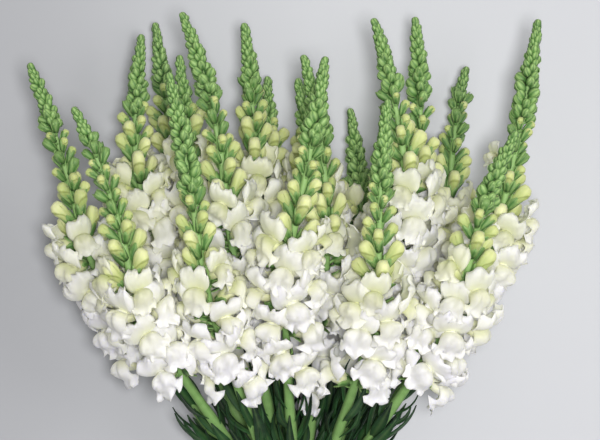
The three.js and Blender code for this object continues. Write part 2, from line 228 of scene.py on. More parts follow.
def roomFor(line, distance, angle):
    table = line["room"]
    row = np.clip(distance / squeeze["step"], 0, len(table) - 1.001)
    column = (angle / (2 * pi) % 1) * squeeze["turns"]
    i, j = row.astype(int), column.astype(int) % squeeze["turns"]
    u, v = row - i, column - column.astype(int)
    nextJ = (j + 1) % squeeze["turns"]
    low, high = (table[k, j] * (1 - v) + table[k, nextJ] * v for k in (i, i + 1))
    return low * (1 - u) + high * u


# Puts points given beside a stem (x sideways round it, y up along it, z outward) where they belong. A spot is a
# stem, the distance along it and the turn round it. What would reach out to full is drawn in to the room there.
def seated(spot, local, full=None):
    line, distance, turn = spot
    at = distance + local[..., 1]
    point, side, out = alongLine(line, at)
    acrossSide = local[..., 2] * cos(turn) + local[..., 0] * sin(turn)
    acrossOut = local[..., 2] * sin(turn) - local[..., 0] * cos(turn)
    scale = 1.0
    if full is not None:
        core = squeeze["core"]
        radius = np.hypot(acrossSide, acrossOut)
        room = roomFor(line, at, np.arctan2(acrossOut, acrossSide))
        share = np.clip((room - core) / max(full - core, 1), squeeze["least"], 1)
        scale = np.where(radius > core, (core + (radius - core) * share) / np.maximum(radius, 1e-6), 1)
    points = besideLine(point, side, out, acrossSide * scale, acrossOut * scale)
    points[..., 2] = np.maximum(points[..., 2], squeeze["floor"])
    return points


# Puts the three values of each point together.
def joined(*values):
    return np.stack(np.broadcast_arrays(*values), -1)


# 1 at the middle, fading out on both sides of it.
def bell(value, middle, width):
    return np.exp(-(((value - middle) / width) ** 2))


# From 0 at low to 1 at high.
def rising(value, low, high):
    return np.clip((value - low) / (high - low), 0, 1)


# s runs across a sheet from -1 to 1, and t along it from 0 to 1.
def gridOf(rows, columns):
    return np.linspace(-1, 1, columns)[None, :], np.linspace(0, 1, rows)[:, None]


# The faces of a grid of points made into a closed thin sheet: a front, a back and a rim.
@cache
def sheetFaces(rows, columns):
    index = np.arange(rows * columns).reshape(rows, columns)
    front = np.stack([index[:-1, :-1], index[:-1, 1:], index[1:, 1:], index[1:, :-1]], -1).reshape(-1, 4)
    back = front[:, ::-1] + rows * columns
    edge = np.concatenate([index[0, :-1], index[:-1, -1], index[-1, :0:-1], index[:0:-1, 0]])
    nextEdge = np.roll(edge, -1)
    rim = np.stack([nextEdge, edge, edge + rows * columns, nextEdge + rows * columns], -1)
    return np.vstack([front, back, rim])


# The faces of rings of points made into a closed tube with a point at each end.
@cache
def tubeFaces(rings, sides):
    index = np.arange(rings * sides).reshape(rings, sides)
    beside = np.roll(index, -1, axis=1)
    walls = np.stack([index[:-1], beside[:-1], beside[1:], index[1:]], -1).reshape(-1, 4)
    foot = np.full(sides, rings * sides)
    footFan = np.stack([beside[0], index[0], foot], -1)
    tipFan = np.stack([index[-1], beside[-1], foot + 1], -1)
    return walls, np.vstack([footFan, tipFan])


def sheetNormals(grid):
    normal = np.cross(np.gradient(grid, axis=1), np.gradient(grid, axis=0))
    return normal / np.maximum(np.linalg.norm(normal, axis=-1, keepdims=True), 1e-9)


# Gathers one piece. paint and grain are three numbers for each point, which the materials read.
def newBatch():
    return {"points": [], "faces": [], "paint": [], "grain": [], "count": 0}


def addTo(batch, points, paint, grain, *faces):
    points = points.reshape(-1, 3)
    batch["faces"] += [corners + batch["count"] for corners in faces]
    batch["points"].append(points)
    batch["paint"].append(np.broadcast_to(paint, points.shape))
    batch["grain"].append(np.broadcast_to(grain, points.shape))
    batch["count"] += len(points)


def addSheet(batch, grid, thickness, paint, grain):
    back = grid - sheetNormals(grid) * thickness
    back[..., 2] = np.maximum(back[..., 2], squeeze["floorBack"])
    both = [np.tile(np.broadcast_to(v, grid.shape).reshape(-1, 3), (2, 1)) for v in (paint, grain)]
    addTo(batch, np.stack([grid, back]), *both, sheetFaces(*grid.shape[:2]))


def addTube(batch, rings, ends, paint, grain):
    full = []
    for value in (paint, grain):
        spread = np.broadcast_to(value, rings.shape)
        full.append(np.concatenate([spread.reshape(-1, 3), spread[[0, -1]].mean(1)]))
    addTo(batch, np.concatenate([rings.reshape(-1, 3), ends]), *full, *tubeFaces(*rings.shape[:2]))


triangleCount = {"all": 0}


def placed(name, data, place=(0, 0, 0)):
    made = bpy.data.objects.new(name, data)
    made.location = place
    bpy.context.scene.collection.objects.link(made)
    return made


def makePiece(name, batch, material, node):
    points = np.concatenate(batch["points"]) * mm + origin
    faces = sorted(batch["faces"], key=lambda corners: -corners.shape[1])
    mesh = bpy.data.meshes.new(name)
    mesh.vertices.add(len(points))
    mesh.vertices.foreach_set("co", points.astype(np.float32).ravel())
    corners = np.concatenate([each.ravel() for each in faces])
    mesh.loops.add(len(corners))
    mesh.loops.foreach_set("vertex_index", corners.astype(np.int32))
    sizes = np.concatenate([np.full(len(each), each.shape[1]) for each in faces])
    mesh.polygons.add(len(sizes))
    mesh.polygons.foreach_set("loop_start", (np.cumsum(sizes) - sizes).astype(np.int32))
    mesh.polygons.foreach_set("use_smooth", np.ones(len(sizes), bool))
    mesh.update(calc_edges=True)
    for label in ("paint", "grain"):
        values = np.concatenate(batch[label]).astype(np.float32)
        layer = mesh.attributes.new(label, "FLOAT_VECTOR", "POINT")
        layer.data.foreach_set("vector", values.ravel())
    mesh.validate()
    mesh.materials.append(material)
    piece = placed(name, mesh)
    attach(piece, "root")
    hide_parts(node)
    triangleCount["all"] += int(sum(sizes - 2))


def nodeIn(tree, kind, values=None, **settings):
    made = tree.nodes.new(kind)
    for key, value in settings.items():
        setattr(made, key, value)
    for key, value in (values or {}).items():
        made.inputs[key].default_value = value
    return made


# Puts a number, a colour or another node's output into a socket.
def wire(value, socket):
    if isinstance(value, (int, float)):
        socket.default_value = value
    elif isinstance(value, tuple):
        socket.default_value = (*value, 1)
    else:
        socket.id_data.links.new(value, socket)


def sumIn(kind, first, second=0.0):
    tree = (second if isinstance(first, (int, float)) else first).id_data
    made = nodeIn(tree, "ShaderNodeMath", operation=kind)
    wire(first, made.inputs[0])
    wire(second, made.inputs[1])
    return made.outputs[0]


plus, minus, times = (partial(sumIn, kind) for kind in ("ADD", "SUBTRACT", "MULTIPLY"))


# Spreads a value that varies round a half over this amount round 0.
def drift(value, amount):
    return times(minus(value, 0.5), amount)


# From 0 at low to 1 at high.
def risingIn(value, low, high):
    made = nodeIn(value.id_data, "ShaderNodeMapRange", {"From Min": low, "From Max": high})
    wire(value, made.inputs["Value"])
    return made.outputs[0]


def noiseIn(place, scale, detail):
    made = nodeIn(place.id_data, "ShaderNodeTexNoise", {"Scale": scale, "Detail": detail})
    wire(place, made.inputs["Vector"])
    return made.outputs["Fac"]


def rampIn(source, stops):
    ramp = nodeIn(source.id_data, "ShaderNodeValToRGB")
    elements = ramp.color_ramp.elements
    while len(elements) < len(stops):
        elements.new(0.5)
    for element, (position, colour) in zip(elements, stops):
        element.position = position
        element.color = (*colour, 1)
    wire(source, ramp.inputs["Fac"])
    return ramp.outputs["Color"]


def mixIn(share, first, second):
    made = nodeIn(share.id_data, "ShaderNodeMix", data_type="RGBA")
    for key, value in (("Factor", share), (6, first), (7, second)):
        wire(value, made.inputs[key])
    return made.outputs[2]


# A new material, with the paint and grain of each point split into their three numbers.
def startMaterial(name):
    material = bpy.data.materials.new(name)
    material.use_nodes = True
    tree = material.node_tree
    given = []
    for label in ("paint", "grain"):
        split = nodeIn(tree, "ShaderNodeSeparateXYZ")
        wire(nodeIn(tree, "ShaderNodeAttribute", attribute_name=label).outputs["Vector"], split.inputs[0])
        given.append(split.outputs)
    return material, tree, *given


def finishMaterial(material, look, colour, height, cloud):
    tree = material.node_tree
    shader = tree.nodes["Principled BSDF"]
    bump = nodeIn(tree, "ShaderNodeBump", {"Strength": look["bump"], "Distance": 0.0004})
    wire(height, bump.inputs["Height"])
    wire(bump.outputs["Normal"], shader.inputs["Normal"])
    wire(colour, shader.inputs["Base Color"])
    wire(plus(drift(cloud, look["roughnessDrift"]), look["roughness"]), shader.inputs["Roughness"])
    for label, value in look["fixed"].items():
        shader.inputs[label].default_value = value
    return material


petalLook = {
    "bud": (0.27, 0.41, 0.11),
    "ripening": (
        (0.28, (0.53, 0.59, 0.235)), (0.52, (0.84, 0.86, 0.54)), (0.76, (0.93, 0.94, 0.775)),
        (0.95, (0.97, 0.97, 0.945)),
    ),
    "ageShare": 0.67, "depthShare": 0.33, "luckDrift": 0.14, "cloud": (90, 3), "cloudDrift": 0.10,
    "wobble": 5, "veins": 46, "veinTone": (0.80, 0.84, 0.62), "veinShare": 0.05, "veinDepth": 0.10,
    "streaks": 62.8, "streakShare": 0.22, "streakDent": 1.6, "mouth": (0.30, 0.35, 0.11), "mouthAt": 0.80,
    "mouthArch": 0.44, "mouthDrift": 0.12, "mouthWide": (0.07, 0.015), "mouthSide": (0, 0.4), "mouthShare": 0.8,
    "mouthDent": 3.5, "hood": (0.80, 0.81, 0.50), "hoodEdge": (0, 0.1), "hoodAge": (0.2, 0.42), "hoodShare": 0.3,
    "crumple": (420, 2), "crumpleDepth": 0.5, "bump": 0.32, "roughness": 0.55, "roughnessDrift": 0.12,
    "fixed": {
        "Subsurface Weight": 0.55,
        "Subsurface Radius": (1, 1, 0.6),
        "Subsurface Scale": 0.006,
        "Sheen Weight": 0.12,
        "Specular IOR Level": 0.3,
    },
}


def petalMaterial():
    look = petalLook
    material, tree, paint, grain = startMaterial("petals")
    age, depth, luck = paint[:3]
    around, along, isBud = grain[:3]
    place = nodeIn(tree, "ShaderNodeTexCoord").outputs["Object"]
    cloud = noiseIn(place, *look["cloud"])
    # Each flower whitens with age, and from its tube to its edge. The greener tube and throat are partly the
    # flower's own colour and partly painted shade in its recess.
    ripe = plus(times(age, look["ageShare"]), times(depth, look["depthShare"]))
    ripe = plus(plus(ripe, drift(luck, look["luckDrift"])), drift(cloud, look["cloudDrift"]))
    colour = rampIn(ripe, [(0.0, look["bud"]), *look["ripening"]])
    # Fine veins run from the tube to the edge. Closed buds have broader green streaks, strongest at their foot.
    vein, streak = (
        plus(sumIn("SINE", plus(times(around, look[label]), times(cloud, look["wobble"]))), 1.0)
        for label in ("veins", "streaks")
    )
    vein = times(vein, 0.5)
    colour = mixIn(times(vein, look["veinShare"]), colour, look["veinTone"])
    streak = times(times(streak, minus(1.15, along)), times(isBud, look["streakShare"]))
    colour = mixIn(streak, colour, look["bud"])
    # The line where the lips of a closed bud meet: it arches over the outer side, and its dark olive colour is
    # painted shade in the crease. The hood above it is paler.
    turned = sumIn("COSINE", times(minus(around, 0.25), 2 * pi))
    lineAt = plus(look["mouthAt"] - look["mouthArch"], times(turned, look["mouthArch"]))
    above = minus(along, plus(lineAt, drift(cloud, look["mouthDrift"])))
    mouth = times(risingIn(sumIn("ABSOLUTE", above), *look["mouthWide"]), risingIn(turned, *look["mouthSide"]))
    mouth = times(mouth, isBud)
    hood = times(times(risingIn(above, *look["hoodEdge"]), isBud), risingIn(age, *look["hoodAge"]))
    colour = mixIn(times(hood, look["hoodShare"]), colour, look["hood"])
    colour = mixIn(times(mouth, look["mouthShare"]), colour, look["mouth"])
    height = plus(times(vein, look["veinDepth"]), times(noiseIn(place, *look["crumple"]), look["crumpleDepth"]))
    height = minus(minus(height, times(mouth, look["mouthDent"])), times(streak, look["streakDent"]))
    return finishMaterial(material, look, colour, height, cloud)


greenLook = {
    "kindsWithPaintedShade": (
        (0, (0.24, 0.42, 0.145)), (0.4, (0.042, 0.156, 0.027)), (0.7, (0.020, 0.090, 0.023)),
        (1, (0.002, 0.015, 0.008)),
    ),
    "edge": (0.36, 0.55, 0.20), "pith": (0.62, 0.68, 0.40), "luckDrift": 0.16, "cloud": (120, 4),
    "cloudDrift": 0.36, "ribs": 60, "ribShare": 0.07, "ribDepth": 0.25, "pores": (600, 2), "poreDepth": 0.6,
    "bump": 0.35, "roughness": 0.51, "roughnessDrift": 0.18,
    "fixed": {
        "Subsurface Weight": 0.06,
        "Subsurface Radius": (0.6, 1, 0.3),
        "Subsurface Scale": 0.002,
        "Sheen Weight": 0.02,
        "Specular IOR Level": 0.3,
    },
}


# The kind goes from pale stems, 0, over buds to dark leaves, 1. The near-black greens at the leaf end are painted
# shade: the leaves stand in for the shaded foliage between the stems.
def greenMaterial():
    look = greenLook
    material, tree, paint, grain = startMaterial("greenery")
    kind, edge, luck = paint[:3]
    place = nodeIn(tree, "ShaderNodeTexCoord").outputs["Object"]
    cloud = noiseIn(place, *look["cloud"])
    varied = plus(plus(kind, drift(cloud, look["cloudDrift"])), drift(luck, look["luckDrift"]))
    colour = mixIn(edge, rampIn(varied, look["kindsWithPaintedShade"]), look["edge"])
    colour = mixIn(sumIn("GREATER_THAN", grain[2], 0.5), colour, look["pith"])
    # Ridges along a stem and ribs along a leaf are a little lighter.
    rib = sumIn("SINE", times(grain[0], look["ribs"]))
    colour = mixIn(times(plus(rib, 1.0), times(minus(1.05, kind), look["ribShare"])), colour, look["edge"])
    height = plus(times(rib, look["ribDepth"]), times(noiseIn(place, *look["pores"]), look["poreDepth"]))
    return finishMaterial(material, look, colour, height, cloud)


strawLook = {
    "colours": ((0.3, (0.26, 0.15, 0.05)), (0.68, (0.62, 0.44, 0.19))),
    "fibres": (70, 3, 9), "detail": 5, "bump": 0.6, "roughness": 0.8, "roughnessDrift": 0,
    "fixed": {},
}


def strawMaterial():
    look = strawLook
    material, tree, paint, grain = startMaterial("tieStraw")
    stretched = nodeIn(tree, "ShaderNodeCombineXYZ")
    for value, scale, socket in zip((grain[0], grain[1], paint[2]), look["fibres"], stretched.inputs):
        wire(times(value, scale), socket)
    fibre = noiseIn(stretched.outputs[0], 1.0, look["detail"])
    return finishMaterial(material, look, rampIn(fibre, look["colours"]), fibre, fibre)


petals = petalMaterial()
greenery = greenMaterial()
straw = strawMaterial()

# An open flower of full age, in millimetres beside its stem: x sideways, y up, z outward. Each lip is a sheet from
# the throat to its edge, and its lists run the same way.
flower = {
    "perStem": {3: 17, 4: 22, 5: 27},
    "longer": {
        "a": 24, "g": 50, "j": 50, "n": 50, "r": 26, "c": 34, "e": 44, "h": 44, "l": 44, "o": 44, "d": 16, "i": 16,
        "m": 16, "q": 16,
    },
    "longerEach": 5.5,
    "lower": {"c": 28, "d": 14, "o": 20, "q": 10},
    "jutting": {"a": ((8, 178, 0.96), (25, 205, 0.96)), "r": ((1, 4, 1), (16, -20, 1), (-52, 168, 0.66))},
    "juttingAge": 0.8, "juttingTone": 0.72, "juttingLean": 14, "gapBelow": 55, "gapChance": 0.3,
    "slimmer": {"a": (-1, 42), "b": (-1, 84), "r": (1, 42)},
    # The shade value is painted shade: it lowers the tone of flowers on stems that lie low in the bunch.
    "openBelow": 0.74, "openSide": -0.1, "deep": 60, "paintedShade": 0.79, "paintedShadeBelow": 100, "size": 1.06,
    "sizes": ((4, 17, 41, 70, 101), (0.74, 0.85, 0.95, 1, 1.03)),
    "sizeSpread": (0.95, 1.06), "ages": ((0, 18, 45, 85), (0.44, 0.62, 0.86, 1)), "turnSpread": 6,
    "sideways": 0.12, "reach": 39, "thickness": 0.6, "upperY": (3, 6.5, 10, 13.5, 16.5, 18.8, 20),
    "upperZ": (19, 25, 29.5, 32.5, 33.6, 32.6, 30), "upperHalf": (5, 8, 11.2, 14, 15.8, 16.2, 14.8),
    "upperDrop": (2, 4.2, 6.4, 7.8, 7.8, 6.4, 4.6), "upperBack": (2, 5, 8, 9.8, 10.2, 9.2, 7.6),
    "upperLobe": 3, "upperNotch": 3.2, "upperRuffle": 2.5,
    "lowerY": (2.5, 5.2, 5.8, 3.8, 0.2, -3.8, -7.2, -9.2, -11.6, -14),
    "lowerZ": (19, 26.4, 31.8, 35.4, 37, 36, 33.2, 31.4, 31.8, 33.2),
    "lowerHalf": (5, 7.2, 9.2, 10.6, 11.2, 11, 10.8, 12, 14, 14.8),
    "lowerRound": (2, 4.6, 7, 8.2, 8.4, 8, 7.2, 6.6, 7.4, 8.8),
    "lowerSide": (1.5, 3, 4.5, 4.2, 2.4, 0.6, -1.2, -3, -5, -7),
    "grooveDepth": 3, "wrinkles": 0.35, "dimples": 0.4, "bends": 0.9, "lowerLobe": 3.4, "lowerRuffle": 2.1,
    "tubeZ": (8.6, 11, 15.5, 21, 27), "tubeY": (-2.6, -1.9, -0.8, 0.2, 1),
    "tubeWide": (3.6, 5, 6, 6.8, 6.8), "tubeHigh": (3.6, 5, 5.8, 6, 4.6),
    "tubeEnds": ((0, -2.6, 7.5), (0, 1, 26)), "pitchOld": 4, "pitchYoung": 30, "pitchSpread": 9,
    "rollSpread": 13, "bloomLow": 12, "bloomHigh": 12, "waves": (2.2, 3.2), "skew": 0.12, "folds": 2.6,
    "broad": (0.88, 1.08), "fineFrill": 0.9, "creases": 0.45,
}
fineGrid = {"upper": (8, 19), "lower": (12, 19), "sides": 8}
coarseGrid = {"upper": (6, 9), "lower": (8, 9), "sides": 6}
rootDrop = 2.6  # a flower or bud is rooted this far below its place


def smoothProfile(values, share):
    marks = np.linspace(0, 1, len(values))
    values = np.asarray(values, float)
    slope = np.gradient(values, marks)
    i = np.clip(np.searchsorted(marks, share, side="right") - 1, 0, len(values) - 2)
    step = marks[i + 1] - marks[i]
    u = (share - marks[i]) / step
    return (
        values[i] * (2 * u ** 3 - 3 * u ** 2 + 1) + slope[i] * step * (u ** 3 - 2 * u ** 2 + u)
        + values[i + 1] * (3 * u ** 2 - 2 * u ** 3) + slope[i + 1] * step * (u ** 3 - u ** 2)
    )


# Turns and sizes points round the root of the flower, before it is put on its stem.
def posed(points, size, pitch, roll):
    root = np.array([0.0, flower["tubeY"][0], flower["tubeZ"][0]])
    x, y, z = np.moveaxis((points - root) * size, -1, 0)
    x, y = x * cos(roll) - y * sin(roll), x * sin(roll) + y * cos(roll)
    y, z = y * cos(pitch) - z * sin(pitch), y * sin(pitch) + z * cos(pitch)
    return joined(x, y, z) + root


# The tone is the age that the petal colour follows, lowered as painted shade on flowers deep in the bunch.
def addFlower(batch, spot, size, age, toneWithPaintedShade, chance, grid):
    look = flower
    lift = look["pitchOld"] + (look["pitchYoung"] - look["pitchOld"]) * (1 - age) ** 1.5
    pitch = radians(chance.normal(lift, look["pitchSpread"]))
    roll = radians(chance.normal(0, look["rollSpread"]))
    luck = chance.random()
    opened = 0.45 + 0.55 * age
    full = squeeze["core"] + (look["reach"] - squeeze["core"]) * size
    phases = chance.random(6) * 2 * pi
    waves = chance.uniform(*look["waves"])
    skew = chance.normal(0, look["skew"])
    folds = chance.normal(0, look["folds"], 4)
    broad = chance.uniform(*look["broad"], 2)

    def put(points):
        x, y, z = np.moveaxis(points, -1, 0)
        far = rising(z, 18, 32)
        bend = np.sin(joined(y * 0.23, x * 0.21 + z * 0.17, x * 0.25 + y * 0.2) + phases[2:5])
        bent = points + look["bends"] * far[..., None] * bend
        dimple = np.sin(x * 0.85 + phases[0]) * np.sin(y * 0.8 + phases[1])
        dimple = dimple + 0.6 * np.sin(x * 0.5 - y * 0.62 + phases[5])
        bent[..., 2] += look["dimples"] * far * dimple
        return seated(spot, posed(bent, size, -pitch, roll), full)

    # So many half waves from the middle of a lip to its side.
    def wave(number, phase, slant=0):
        return np.sin(number * pi * s + phases[phase] + slant * t)

    # Ruffles the edge of a lip and adds it. order is -1 for the lower lip, which faces the other way.
    def addLip(x, y, z, edge, frill, sway, fine, blush, order):
        fine = look["fineFrill"] * fine
        z = z + opened * edge * (frill + fine)
        y = y + edge * (sway + 0.6 * fine)
        paint, grain = joined(toneWithPaintedShade - blush * 0.5, 0.3 + 0.7 * t - blush, luck), joined(s * (0.4 + 0.6 * t), t, 0)
        addSheet(batch, put(joined(x, y, z)[::order]), look["thickness"] * size, paint[::order], grain[::order])

    # The upper lip: two broad lobes that bend back, with a notch between them.
    s, t = gridOf(*grid["upper"])
    half, middleY, middleZ, drop, back = (
        smoothProfile(look["upper" + part], t) for part in ("Half", "Y", "Z", "Drop", "Back")
    )
    lobe = np.abs(np.sin(pi * np.clip(s + skew * (1 - s ** 2), -1, 1))) ** 0.7
    notch = bell(s, -skew, 0.13)
    x = half * (0.62 + 0.38 * opened) * broad[0] * np.sin(s * pi / 2 * 0.97)
    y = middleY - drop * np.abs(s) ** 2.2 + look["upperLobe"] * lobe * t ** 3 - look["upperNotch"] * t ** 3 * notch
    z = middleZ - back * s ** 2 - 1.6 * t * notch + 5.0 * (1 - opened) * t ** 2
    # Each lobe folds forward or back by its own amount.
    right, left = np.clip(s, 0, 1), np.clip(-s, 0, 1)
    z = z + t ** 1.5 * (right * folds[0] + left * folds[1])
    y = y + t ** 2 * (right * folds[2] + left * folds[3]) * 0.5
    edge = np.maximum(t ** 2.2, np.abs(s) ** 3 * t)
    z = z + look["creases"] * t * np.sin(9.0 * s + phases[4]) * (1 - np.abs(s))
    frill = look["upperRuffle"] * (wave(waves, 0) + 0.4 * wave(waves * 1.9, 5, 2))
    sway = 0.4 * look["upperRuffle"] * wave(waves * 1.9, 1)
    addLip(x, y, z, edge, frill, sway, wave(2.4 + waves, 3, 3), 0, 1)

    # The lower lip: a swollen cushion with a groove, then three ruffled lobes.
    s, t = gridOf(*grid["lower"])
    half, middleY, middleZ, back, drop = (
        smoothProfile(look["lower" + part], t) for part in ("Half", "Y", "Z", "Round", "Side")
    )
    x = half * (0.7 + 0.3 * opened) * broad[1] * np.sin(s * pi / 2 * 0.97)
    y = middleY - drop * s ** 2
    ball = bell(t, 0.42, 0.2)
    z = middleZ - back * s ** 2 - look["grooveDepth"] * ball * bell(s, 0, 0.2)
    z = z + 0.9 * ball * bell(np.abs(s), 0.45, 0.25) + look["wrinkles"] * bell(t, 0.6, 0.1) * wave(7.5, 3)
    lobe = np.abs(np.cos(1.5 * pi * s)) ** 0.48
    outer = rising(t, 0.62, 1)
    z = z - 1.8 * (1 - lobe) * outer - 6.0 * (1 - opened) * outer
    y = y - look["lowerLobe"] * (lobe - 0.4) * outer ** 1.5
    frill = look["lowerRuffle"] * (wave(waves * 1.3, 1) + 0.4 * wave(waves * 2.1, 0))
    sway = 0.35 * look["lowerRuffle"] * wave(waves * 1.6, 5)
    blush = 0.3 * bell(t, 0.2, 0.12) + 0.55 * (1 - age) * ball
    addLip(x, y, z, outer ** 1.4, frill, sway, wave(2.7 + waves, 2, 4), blush, -1)

    # The tube. It is greener towards its foot: partly its own colour and partly painted shade deep in the flower.
    angle = turnsOf(grid["sides"])
    wide, high, middleY, middleZ = (np.array(look["tube" + part])[:, None] for part in ("Wide", "High", "Y", "Z"))
    rings = joined(wide * np.cos(angle), middleY - high * np.sin(angle), middleZ)
    share = np.linspace(0, 0.35, len(wide))[:, None]
    paint = joined(toneWithPaintedShade * (0.55 + share), share, luck)
    addTube(batch, put(rings), put(np.array(look["tubeEnds"])), paint, joined(angle / 6.3, share, 0))


# Puts points beside the middle line of what leans out from a stem: x sideways, run along that line and up above it.
# A stand is the lean, and how high and how far out the line starts.
def leaned(stand, x, run, up):
    lean, high, out = stand
    return joined(x, high + run * sin(lean) + up * cos(lean), out + run * cos(lean) - up * sin(lean))


# A closed flower bud: a rounded snout with a crease between its lips. The rows of large buds say the height above
# the foot of the buds, length, lean and age, from the lowest upwards.
budShape = {
    "sides": 10, "shares": (0.04, 0.2, 0.38, 0.54, 0.68, 0.84, 0.96),
    "girth": (0.13, 0.185, 0.225, 0.24, 0.27, 0.26, 0.18), "crease": 0.26, "hood": 0.2, "out": 3.2, "reach": 12,
    "large": (
        (-13, 33, 60, 0.48), (-10, 32.5, 60, 0.45), (-7, 32, 60, 0.43), (7, 30, 59, 0.40), (10, 29, 59, 0.38),
        (13, 28, 59, 0.37), (24, 24, 58, 0.34), (27, 23, 58, 0.33), (29, 22, 58, 0.31), (38, 18.5, 57, 0.29),
        (40, 18, 57, 0.28),
    ),
    "largeSpread": (0.9, 1.08), "fullness": 1.6, "whorl": 3, "whorlTurn": radians(68), "turnSpread": 9,
    "leanSpread": 5, "greenFrom": 49, "greenPitch": 4.1, "greenStep": 2, "greenLength": (16, 11.5),
    "greenSpread": (0.88, 1.12), "greenLean": 58, "greenAge": 0.24, "greenWide": 1.2, "closedFrom": 0.75,
    "allGreen": ("m",), "allGreenSize": 0.62,
}

# The calyx: five sepals that lie on the foot of a flower or bud, and its stalk.
calyx = {
    "sepals": 5, "length": 10.5, "width": 7.4, "spread": (0.88, 1.12), "leans": (8, 30), "flare": 1, "out": 6.4,
    "reach": 40, "kind": 0.50, "thickness": 0.5, "stalk": (0.15, 0.1, 0.5), "bract": 13,
    "bractSpread": (0.7, 1.2), "bractBelow": 9, "bractLean": (35, 10),
}


def budGirth(length, closed):
    look = budShape
    return length ** 0.8 * look["fullness"] * np.array(look["girth"]) * (look["greenWide"] if closed else 1)


def addFlowerBud(batch, spot, length, lean, age, chance, closed):
    look = budShape
    share = np.array(look["shares"])[:, None]
    angle = turnsOf(look["sides"])
    girth = budGirth(length, closed)[:, None]
    crease = 1 - look["crease"] * bell(np.sin(angle), 0, 0.3) * rising(share, 0.3, 0.8)
    hood = 1 + (0 if closed else look["hood"]) * rising(share, 0.5, 0.62) * np.clip(np.sin(angle), 0, 1)
    up = -girth * hood * (0.92 + 0.1 * np.sin(angle)) * np.sin(angle)
    stand = (lean, -rootDrop, look["out"])
    rings = leaned(stand, girth * crease * np.cos(angle), share * length, up)
    luck = chance.random()
    if closed:
        paint = joined(calyx["kind"], 0.08 + 0.5 * share ** 4, luck)
        grain = 0.4 * joined(angle / (2 * pi), share, 0)
    else:
        paint = joined(age * (0.1 + 0.9 * share ** 0.9), share * 0.32, luck)
        grain = joined(angle / (2 * pi), share, 1)
    full = look["reach"] + length
    ends = leaned(stand, 0, np.array([0, length]), 0)
    addTube(batch, seated(spot, rings, full), seated(spot, ends, full), paint, grain)


# One sepal or bract: a small pointed sheet. Its bow says how far sideways and up it lies at a place on it.
def addSepal(batch, spot, stand, bow, length, width, kind, chance, full=None, rows=4):
    s, t = gridOf(rows, 3)
    half = width / 2 * np.sin(pi * np.clip(t, 0.06, 0.97) ** 0.8) ** 0.6
    x, up = bow(half * s, length * t)
    edge = np.clip(np.abs(s) ** 3 * 0.62 + 0.4 * t ** 5, 0, 0.8)
    grid = seated(spot, leaned(stand, x, length * t, up), full)
    addSheet(batch, grid, calyx["thickness"], joined(kind, edge, chance.random()), joined(s * 0.3, t, 0))


# The girths say how thick the flower or bud is at each mark along it.
def addCalyx(batch, spot, stand, length, width, marks, girths, chance, full, flare=0.0, rows=4):
    look = calyx
    start = chance.random() * 2 * pi
    for i in range(look["sepals"]):
        def bow(across, run):
            grown = np.interp(run, marks, girths) + 0.3 + 0.3 * (i % 2) + flare * (run / length) ** 3
            turned = start + 2 * pi * i / look["sepals"] + across / np.maximum(grown, 1.2)
            return grown * np.cos(turned), grown * np.sin(turned)

        own = length * chance.uniform(*look["spread"])
        addSepal(batch, spot, stand, bow, own, width, look["kind"], chance, full, rows)
    # The stalk.
    angle = turnsOf(5)
    run = np.linspace(0, 1, 3)[:, None]
    y = -5.5 + 3.2 * run - (1.5 + 0.4 * run) * np.sin(angle)
    rings = joined((1.5 + 0.5 * run) * np.cos(angle), y, 1.5 + stand[2] * run)
    ends = np.array([[0, -5.5, 1.0], [0, -2.3, stand[2] + 1.8]])
    addTube(batch, seated(spot, rings), seated(spot, ends), look["stalk"], (0, 0, 0))


# The calyx of an open flower, round the foot of its tube.
def addFlowerCalyx(batch, spot, size, lean, length, width, chance, rows=4):
    marks = (np.array(flower["tubeZ"]) - flower["tubeZ"][0]) * size
    girths = np.array(flower["tubeWide"]) * size
    stand = (radians(lean), -rootDrop, calyx["out"])
    addCalyx(batch, spot, stand, length, width, marks, girths, chance, calyx["reach"], calyx["flare"], rows)


# A bud with its calyx, which hides all of a small one that is still closed.
def addBudWithCalyx(white, green, spot, length, lean, age, chance, closed):
    addFlowerBud(green if closed else white, spot, length, lean, age, chance, closed)
    girths = budGirth(length, closed)
    marks = np.array(budShape["shares"]) * length
    cover = 0.97 * length if closed else min(0.84 * length, 9.6 + 0.17 * length)
    width = 2 * pi * float(np.interp(cover * 0.5, marks, girths)) / calyx["sepals"] * 1.5
    stand = (lean, -rootDrop, budShape["out"])
    addCalyx(green, spot, stand, cover, width, marks, girths, chance, budShape["reach"] + length)


# A small pointed leaf on the stem under each flower.
def addBract(batch, spot, chance):
    length = calyx["bract"] * chance.uniform(*calyx["bractSpread"])
    stand = (radians(chance.normal(*calyx["bractLean"])), 0, 3)

    def bow(across, run):
        return across, -2.5 * np.sin(run / length * 2.2)

    addSepal(batch, spot, stand, bow, length, length * 0.42, calyx["kind"], chance)


# The tight green buds at the tip of each stem. share is how much of the spike they fill.
spike = {
    "crown": 8.2, "crownLean": 86, "crownOut": 0.3, "tipSize": 5.8, "grow": 0.088, "largest": 10.6,
    "sizeSpread": (0.82, 1.18), "spacing": 0.15, "standOut": 0.03, "farthest": 1.9, "sunk": 0.7, "leanTip": 76,
    "leanGrow": 0.45, "leanLeast": 52, "leanSpread": 7, "turnSpread": 14, "kind": 0.50, "deepPaintedShade": 0.14,
    "share": 0.46,
    "shareOf": {
        "a": 0.36, "b": 0.20, "f": 0.60, "g": 0.42, "s": 0.52, "c": 0.5, "e": 0.6, "i": 0.55, "l": 0.6, "m": 0.85,
        "q": 0.2,
    },
    "sides": 10, "girth": (0.22, 0.35, 0.39, 0.34, 0.2), "shares": (0.05, 0.27, 0.54, 0.80, 0.97), "lobes": 0.16,
    "bractFrom": 8.8,
}


